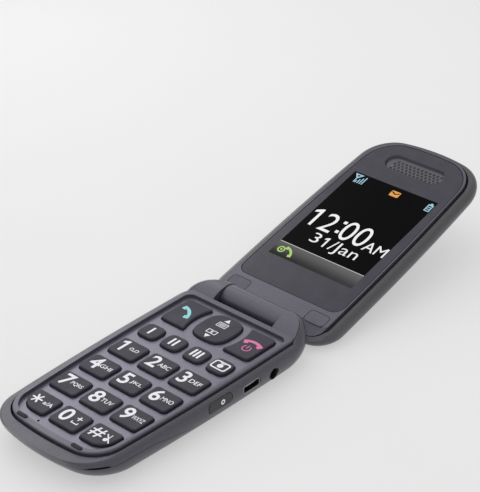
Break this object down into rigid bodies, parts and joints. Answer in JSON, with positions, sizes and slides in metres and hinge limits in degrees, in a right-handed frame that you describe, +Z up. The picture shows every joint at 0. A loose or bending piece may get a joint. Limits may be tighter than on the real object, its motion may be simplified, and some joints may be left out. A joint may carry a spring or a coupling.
{
  "type": "flip phone",
  "caption": "Folding mobile phone: keypad half and screen half joined by a barrel hinge, with pressing keys, a sliding battery cover and a headset jack",
  "frame": {"origin": "on the flat underside of the keypad half, on its centre line, at the middle of its rest face", "axes": "+Z up, +Y from the microphone end towards the hinge, +X to the right of the keypad; open at rest"},
  "size_m": [0.053, 0.1964, 0.0291],
  "materials": {
    "frame_satin": "satin lacquered plastic",
    "shell_satin": "satin lacquered plastic",
    "lid_satin": "satin metallic lacquer on plastic",
    "fascia": "satin metallic lacquer on plastic",
    "key_charcoal": "matt charcoal with printed legends",
    "button_grey": "matt grey",
    "mat_rubber": "translucent silicone",
    "dome_steel": "stainless snap domes on film",
    "board_green": "green solder mask on glass laminate",
    "cell_wrap": "dark wrap over a lithium cell",
    "black_plastic": "black moulded plastic",
    "steel_bare": "bare steel",
    "copper_flex": "amber flexible circuit",
    "soft_rubber": "soft grey rubber",
    "pad_rubber": "soft touch grey rubber",
    "window_grey": "back-painted acrylic",
    "display_glass": "opaque display module",
    "mesh_dark": "pierced grille",
    "camera_glass": "gloss black acrylic",
    "lens_white": "milky lens",
    "magnet_bare": "plated magnet"
  },
  "bodies": {
    "base": {"base_front_case": "frame_satin", "base_rear_case": "shell_satin", "keypad_plate": "fascia", "keypad_mat": "mat_rubber", "dome_sheet": "dome_steel", "main_board": "board_green", "battery": "cell_wrap", "battery_contacts": "black_plastic", "sim_card_holder": "steel_bare", "loudspeaker": "black_plastic", "vibration_motor": "steel_bare", "antenna": "copper_flex", "microphone": "steel_bare", "micro_usb_socket": "steel_bare", "audio_jack": "black_plastic", "side_switch": "black_plastic", "base_screws": "steel_bare", "rim_bumpers": "soft_rubber", "hinge_cartridge": "steel_bare", "hinge_pin": "steel_bare"},
    "lid": {"lid_cover": "lid_satin", "lid_frame": "frame_satin", "window_plate": "window_grey", "display_panel": "display_glass", "earpiece_mesh": "mesh_dark", "earpiece_receiver": "black_plastic", "screw_covers": "pad_rubber", "lid_screws": "steel_bare", "lid_board": "board_green", "camera_module": "black_plastic", "camera_window": "camera_glass", "flash_lens": "lens_white", "led_lens": "lens_white", "closing_magnet": "magnet_bare", "flex_roll": "copper_flex"},
    "key_1": {"key_1": "key_charcoal"},
    "key_2": {"key_2": "key_charcoal"},
    "key_3": {"key_3": "key_charcoal"},
    "key_4": {"key_4": "key_charcoal"},
    "key_5": {"key_5": "key_charcoal"},
    "key_6": {"key_6": "key_charcoal"},
    "key_7": {"key_7": "key_charcoal"},
    "key_8": {"key_8": "key_charcoal"},
    "key_9": {"key_9": "key_charcoal"},
    "key_star": {"key_star": "key_charcoal"},
    "key_0": {"key_0": "key_charcoal"},
    "key_hash": {"key_hash": "key_charcoal"},
    "key_memory_1": {"key_memory_1": "key_charcoal"},
    "key_memory_2": {"key_memory_2": "key_charcoal"},
    "key_memory_3": {"key_memory_3": "key_charcoal"},
    "key_camera": {"key_camera": "key_charcoal"},
    "key_call": {"key_call": "key_charcoal"},
    "key_end": {"key_end": "key_charcoal"},
    "nav_key": {"nav_key": "key_charcoal"},
    "side_button": {"side_button": "button_grey"},
    "battery_cover": {"battery_cover": "shell_satin"}
  },
  "joints": [
    {"name": "lid_hinge", "type": "hinge", "parent": "base", "child": "lid", "pos_m": [0, 0.0464, 0.0078], "axis": [1, 0, 0], "range_deg": [0, 165.4]},
    {"name": "key_1_press", "type": "slide", "parent": "base", "child": "key_1", "axis": [0, 0, -1], "range_m": [0, 0.00025], "stiffness_N_per_m": 120, "springref_m": -0.0004},
    {"name": "key_2_press", "type": "slide", "parent": "base", "child": "key_2", "axis": [0, 0, -1], "range_m": [0, 0.00025], "stiffness_N_per_m": 120, "springref_m": -0.0004},
    {"name": "key_3_press", "type": "slide", "parent": "base", "child": "key_3", "axis": [0, 0, -1], "range_m": [0, 0.00025], "stiffness_N_per_m": 120, "springref_m": -0.0004},
    {"name": "key_4_press", "type": "slide", "parent": "base", "child": "key_4", "axis": [0, 0, -1], "range_m": [0, 0.00025], "stiffness_N_per_m": 120, "springref_m": -0.0004},
    {"name": "key_5_press", "type": "slide", "parent": "base", "child": "key_5", "axis": [0, 0, -1], "range_m": [0, 0.00025], "stiffness_N_per_m": 120, "springref_m": -0.0004},
    {"name": "key_6_press", "type": "slide", "parent": "base", "child": "key_6", "axis": [0, 0, -1], "range_m": [0, 0.00025], "stiffness_N_per_m": 120, "springref_m": -0.0004},
    {"name": "key_7_press", "type": "slide", "parent": "base", "child": "key_7", "axis": [0, 0, -1], "range_m": [0, 0.00025], "stiffness_N_per_m": 120, "springref_m": -0.0004},
    {"name": "key_8_press", "type": "slide", "parent": "base", "child": "key_8", "axis": [0, 0, -1], "range_m": [0, 0.00025], "stiffness_N_per_m": 120, "springref_m": -0.0004},
    {"name": "key_9_press", "type": "slide", "parent": "base", "child": "key_9", "axis": [0, 0, -1], "range_m": [0, 0.00025], "stiffness_N_per_m": 120, "springref_m": -0.0004},
    {"name": "key_star_press", "type": "slide", "parent": "base", "child": "key_star", "axis": [0, 0, -1], "range_m": [0, 0.00025], "stiffness_N_per_m": 120, "springref_m": -0.0004},
    {"name": "key_0_press", "type": "slide", "parent": "base", "child": "key_0", "axis": [0, 0, -1], "range_m": [0, 0.00025], "stiffness_N_per_m": 120, "springref_m": -0.0004},
    {"name": "key_hash_press", "type": "slide", "parent": "base", "child": "key_hash", "axis": [0, 0, -1], "range_m": [0, 0.00025], "stiffness_N_per_m": 120, "springref_m": -0.0004},
    {"name": "key_memory_1_press", "type": "slide", "parent": "base", "child": "key_memory_1", "axis": [0, 0, -1], "range_m": [0, 0.00025], "stiffness_N_per_m": 120, "springref_m": -0.0004},
    {"name": "key_memory_2_press", "type": "slide", "parent": "base", "child": "key_memory_2", "axis": [0, 0, -1], "range_m": [0, 0.00025], "stiffness_N_per_m": 120, "springref_m": -0.0004},
    {"name": "key_memory_3_press", "type": "slide", "parent": "base", "child": "key_memory_3", "axis": [0, 0, -1], "range_m": [0, 0.00025], "stiffness_N_per_m": 120, "springref_m": -0.0004},
    {"name": "key_camera_press", "type": "slide", "parent": "base", "child": "key_camera", "axis": [0, 0, -1], "range_m": [0, 0.00025], "stiffness_N_per_m": 120, "springref_m": -0.0004},
    {"name": "key_call_press", "type": "slide", "parent": "base", "child": "key_call", "axis": [0, 0, -1], "range_m": [0, 0.00025], "stiffness_N_per_m": 120, "springref_m": -0.0004},
    {"name": "key_end_press", "type": "slide", "parent": "base", "child": "key_end", "axis": [0, 0, -1], "range_m": [0, 0.00025], "stiffness_N_per_m": 120, "springref_m": -0.0004},
    {"name": "nav_key_press", "type": "slide", "parent": "base", "child": "nav_key", "axis": [0, 0, -1], "range_m": [0, 0.00025], "stiffness_N_per_m": 120, "springref_m": -0.0004},
    {"name": "side_button_press", "type": "slide", "parent": "base", "child": "side_button", "axis": [-1, 0, 0], "range_m": [0, 0.00025], "stiffness_N_per_m": 120, "springref_m": -0.0004},
    {"name": "battery_cover_slide", "type": "slide", "parent": "base", "child": "battery_cover", "axis": [0, -1, 0], "range_m": [0, 0.012]}
  ]
}
